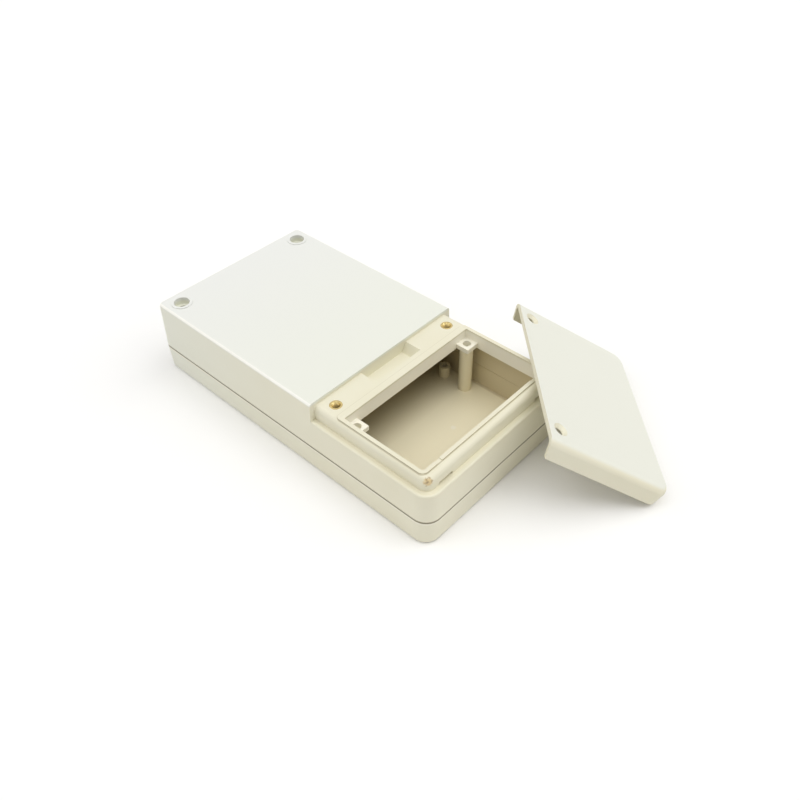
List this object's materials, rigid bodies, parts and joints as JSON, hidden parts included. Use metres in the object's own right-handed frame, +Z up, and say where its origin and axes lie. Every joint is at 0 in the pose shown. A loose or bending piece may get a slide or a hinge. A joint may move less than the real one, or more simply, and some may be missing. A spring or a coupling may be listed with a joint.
{
  "type": "handheld enclosure",
  "caption": "Pale moulded handheld enclosure lying face down: two shells, a stepped compartment end with brass inserts, and its cover taken off and leaning on the end.",
  "frame": {"origin": "centre of the front shell's face, in the plane of the table it lies on", "axes": "+X along the case toward the compartment end, +Y across the case, +Z up from the front face to the roof"},
  "size_m": [0.202, 0.1272, 0.0381],
  "materials": {
    "shell": "pale off-white moulded plastic, fine satin grain",
    "insert": "turned brass"
  },
  "bodies": {
    "root": {"front_shell": "shell", "rear_shell": "shell", "compartment_cover": "shell", "insert_left": "insert", "insert_right": "insert"}
  },
  "joints": []
}
